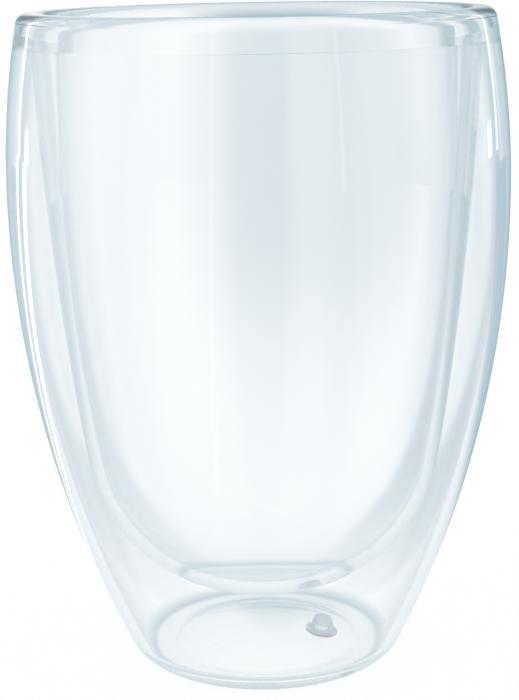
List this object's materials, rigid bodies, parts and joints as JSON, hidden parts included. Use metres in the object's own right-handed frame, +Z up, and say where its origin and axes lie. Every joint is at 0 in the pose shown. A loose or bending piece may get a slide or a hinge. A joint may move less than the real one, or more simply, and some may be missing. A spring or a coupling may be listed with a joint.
{
  "type": "double walled drinking glass",
  "caption": "Tall rounded double walled drinking glass: outer wall, bowl hung inside from a solid lip, sealed air gap and plugged vent in the base.",
  "frame": {"origin": "on the table, under the middle of the foot", "axes": "+Z up along the axis the glass is turned about, +X towards the vent in the base"},
  "size_m": [0.0904, 0.0904, 0.12],
  "materials": {
    "outer_glass": "polished clear borosilicate glass with a faint grey-blue edge",
    "inner_glass": "polished clear borosilicate glass with a faint grey-blue edge",
    "lip_glass": "fire polished clear borosilicate glass, darker because it is thick",
    "plug_silicone": "milky clear silicone"
  },
  "bodies": {
    "root": {"outer_wall": "outer_glass", "inner_bowl": "inner_glass", "rim_lip": "lip_glass", "vent_plug": "plug_silicone"}
  },
  "joints": []
}
